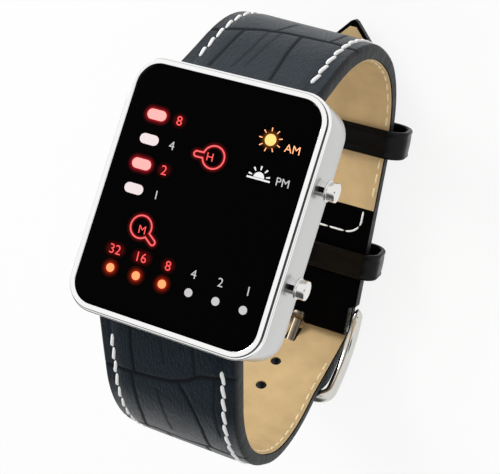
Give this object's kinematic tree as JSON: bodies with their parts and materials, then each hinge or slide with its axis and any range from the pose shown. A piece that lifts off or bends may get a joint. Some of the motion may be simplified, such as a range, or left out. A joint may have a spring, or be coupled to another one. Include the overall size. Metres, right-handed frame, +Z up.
{
  "type": "digital wristwatch",
  "caption": "Square-faced binary light wristwatch with push buttons, buckled on an embossed leather strap with keepers, standing on the back of its loop.",
  "frame": {"origin": "middle of the underside of the fixed keeper, on the surface that the watch stands on", "axes": "+X to 3 o'clock, +Y along the doubled strap from the buckle to the free keeper, +Z up; the face leans back 24 degrees towards +Y"},
  "size_m": [0.0356, 0.0766, 0.0728],
  "materials": {
    "chrome": "polished",
    "steel": "brushed",
    "lens": "gloss",
    "rubber": "matte",
    "adhesive": "matte",
    "mask": "matte",
    "guide": "gloss",
    "board": "satin",
    "hour_light": "gloss",
    "minute_light": "gloss",
    "icon_light": "gloss",
    "chip": "matte",
    "frame": "matte",
    "contact": "satin",
    "sheet": "gloss",
    "black_leather": "embossed, semi-gloss",
    "tan_leather": "matte",
    "keeper_leather": "gloss"
  },
  "bodies": {
    "watch": {"case_body": "chrome", "upper_button_sleeve": "chrome", "lower_button_sleeve": "chrome", "coin_cell": "steel", "cell_clip": "steel", "case_back": "steel", "back_screws": "steel", "quartz_crystal": "steel", "upper_button_spring": "steel", "lower_button_spring": "steel", "top_bar_tube": "steel", "top_bar_spring": "steel", "bottom_bar_tube": "steel", "bottom_bar_spring": "steel", "buckle_bar_tube": "steel", "buckle_bar_spring": "steel", "face_lens": "lens", "back_gasket": "rubber", "lens_gasket": "adhesive", "dial_mask": "mask", "light_guide": "guide", "circuit_board": "board", "hour_leds": "hour_light", "minute_leds": "minute_light", "icon_leds": "icon_light", "control_chip": "chip", "module_frame": "frame", "cell_contact": "contact", "upper_switch_leaf": "contact", "lower_switch_leaf": "contact", "insulator_sheet": "sheet", "buckle_strap": "black_leather", "tail_strap": "black_leather", "buckle_strap_lining": "tan_leather", "tail_strap_lining": "tan_leather", "fixed_keeper": "keeper_leather"},
    "upper_button_body": {"upper_button": "chrome", "upper_button_seal": "rubber", "upper_button_clip": "steel"},
    "lower_button_body": {"lower_button": "chrome", "lower_button_seal": "rubber", "lower_button_clip": "steel"},
    "free_keeper": {"free_keeper": "keeper_leather"},
    "buckle_frame": {"buckle_frame": "chrome"},
    "buckle_tongue": {"buckle_tongue": "chrome"},
    "top_bar_left_tip": {"top_bar_left_tip": "chrome"},
    "top_bar_right_tip": {"top_bar_right_tip": "chrome"},
    "bottom_bar_left_tip": {"bottom_bar_left_tip": "chrome"},
    "bottom_bar_right_tip": {"bottom_bar_right_tip": "chrome"},
    "buckle_bar_left_tip": {"buckle_bar_left_tip": "chrome"},
    "buckle_bar_right_tip": {"buckle_bar_right_tip": "chrome"}
  },
  "joints": [
    {"name": "upper_button_press", "type": "slide", "parent": "watch", "child": "upper_button_body", "axis": [-1, 0, 0], "range_m": [0, 0.0008], "stiffness_N_per_m": 1500, "springref_m": -0.0008, "deforming": ["upper_button_spring"]},
    {"name": "lower_button_press", "type": "slide", "parent": "watch", "child": "lower_button_body", "axis": [-1, 0, 0], "range_m": [0, 0.0008], "stiffness_N_per_m": 1500, "springref_m": -0.0008, "deforming": ["lower_button_spring"]},
    {"name": "top_left_tip_slide", "type": "slide", "parent": "watch", "child": "top_bar_left_tip", "axis": [1, 0, 0], "range_m": [0, 0.001], "stiffness_N_per_m": 1200, "springref_m": -0.001, "deforming": ["top_bar_spring"]},
    {"name": "top_right_tip_slide", "type": "slide", "parent": "watch", "child": "top_bar_right_tip", "axis": [-1, 0, 0], "range_m": [0, 0.001], "stiffness_N_per_m": 1200, "springref_m": -0.001, "deforming": ["top_bar_spring"]},
    {"name": "bottom_left_tip_slide", "type": "slide", "parent": "watch", "child": "bottom_bar_left_tip", "axis": [1, 0, 0], "range_m": [0, 0.001], "stiffness_N_per_m": 1200, "springref_m": -0.001, "deforming": ["bottom_bar_spring"]},
    {"name": "bottom_right_tip_slide", "type": "slide", "parent": "watch", "child": "bottom_bar_right_tip", "axis": [-1, 0, 0], "range_m": [0, 0.001], "stiffness_N_per_m": 1200, "springref_m": -0.001, "deforming": ["bottom_bar_spring"]},
    {"name": "buckle_left_tip_slide", "type": "slide", "parent": "watch", "child": "buckle_bar_left_tip", "axis": [1, 0, 0], "range_m": [0, 0.001], "stiffness_N_per_m": 1200, "springref_m": -0.001, "deforming": ["buckle_bar_spring"]},
    {"name": "buckle_right_tip_slide", "type": "slide", "parent": "watch", "child": "buckle_bar_right_tip", "axis": [-1, 0, 0], "range_m": [0, 0.001], "stiffness_N_per_m": 1200, "springref_m": -0.001, "deforming": ["buckle_bar_spring"]},
    {"name": "free_keeper_slide", "type": "slide", "parent": "watch", "child": "free_keeper", "axis": [0, 1, 0], "range_m": [-0.0195, 0]},
    {"name": "buckle_swing", "type": "hinge", "parent": "watch", "child": "buckle_frame", "pos_m": [0, -0.0148, 0.0054], "axis": [1, 0, 0], "range_deg": [0, 12]},
    {"name": "tongue_swing", "type": "hinge", "parent": "buckle_frame", "child": "buckle_tongue", "pos_m": [0, -0.0148, 0.0054], "axis": [1, 0, 0], "range_deg": [0, 6]}
  ]
}
